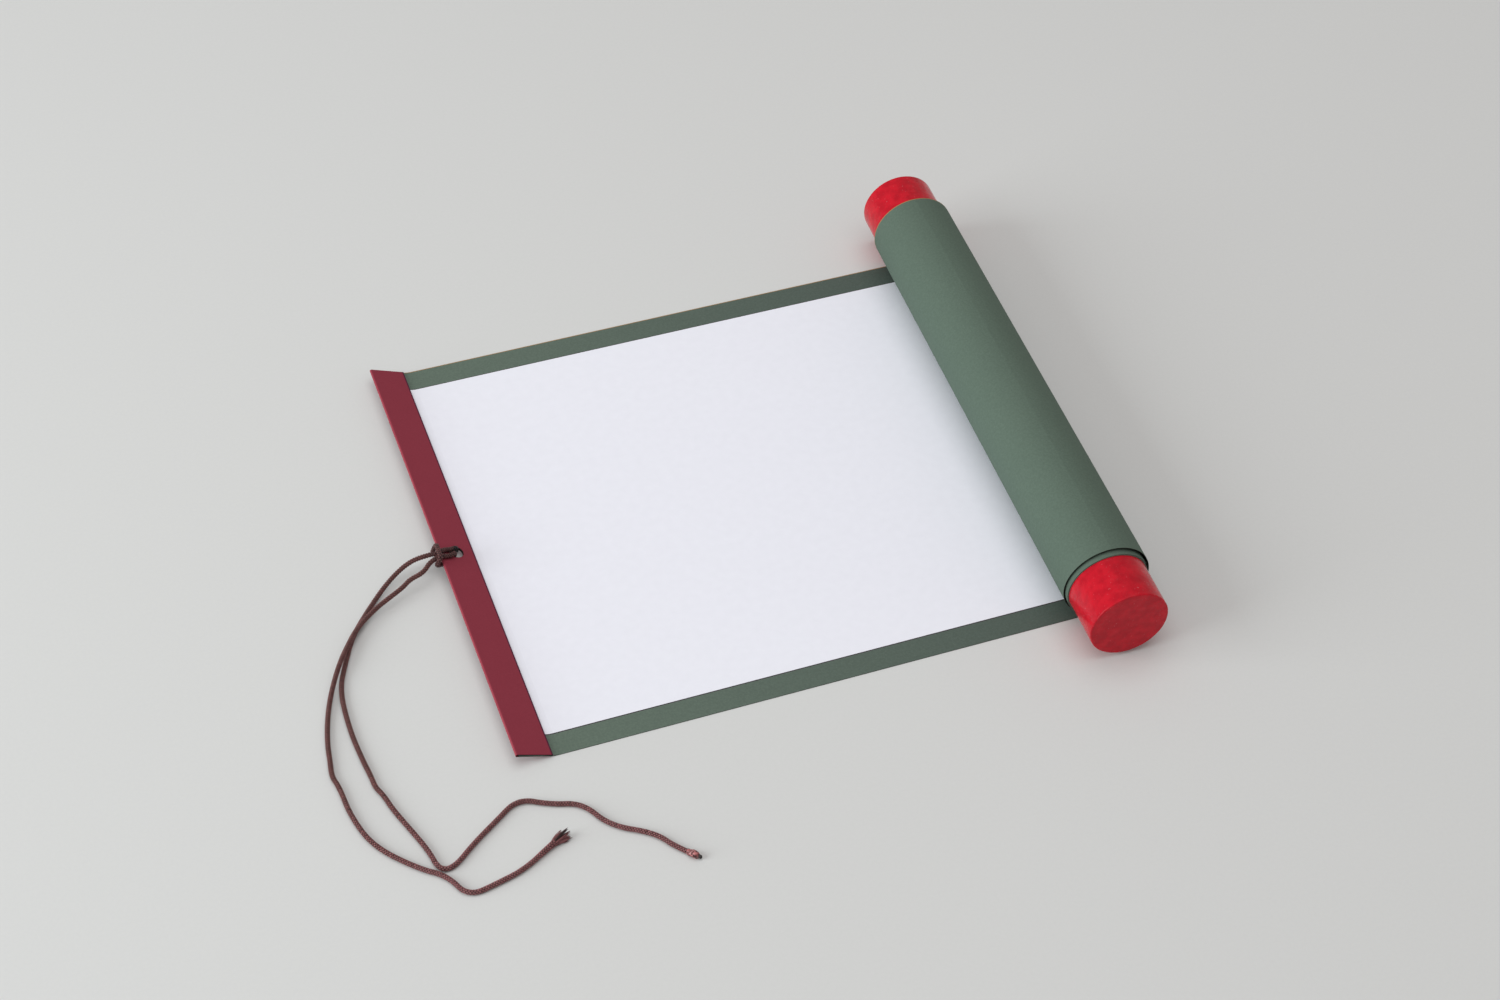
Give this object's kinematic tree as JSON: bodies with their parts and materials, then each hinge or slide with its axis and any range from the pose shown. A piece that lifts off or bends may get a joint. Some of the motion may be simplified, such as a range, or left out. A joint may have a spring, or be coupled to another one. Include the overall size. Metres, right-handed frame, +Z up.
{
  "type": "paper scroll",
  "caption": "Partly unrolled paper scroll on a tube with turned end knobs, its free end bound in a folded strip with a cord hitched through a punched hole.",
  "frame": {"origin": "on the table, at the middle of the box round the scroll without its cord", "axes": "+X along the sheet from the bound end to the roll, +Y across the sheet to the far knob, +Z up"},
  "size_m": [0.3518, 0.321, 0.0381],
  "materials": {
    "backing_paper": "matt green paper",
    "writing_paper": "matt white paper",
    "strip_paper": "matt maroon paper with a worn fold",
    "tube_board": "bare cardboard",
    "painted_wood": "glossy brushed red paint",
    "braided_cord": "braided fibre"
  },
  "bodies": {
    "root": {"backing_sheet": "backing_paper", "writing_sheet": "writing_paper", "end_strip": "strip_paper", "roller_tube": "tube_board", "end_knob_near": "painted_wood", "end_knob_far": "painted_wood", "cord_hitch": "braided_cord", "cord_tail_frayed": "braided_cord", "cord_tail_sealed": "braided_cord"}
  },
  "joints": []
}
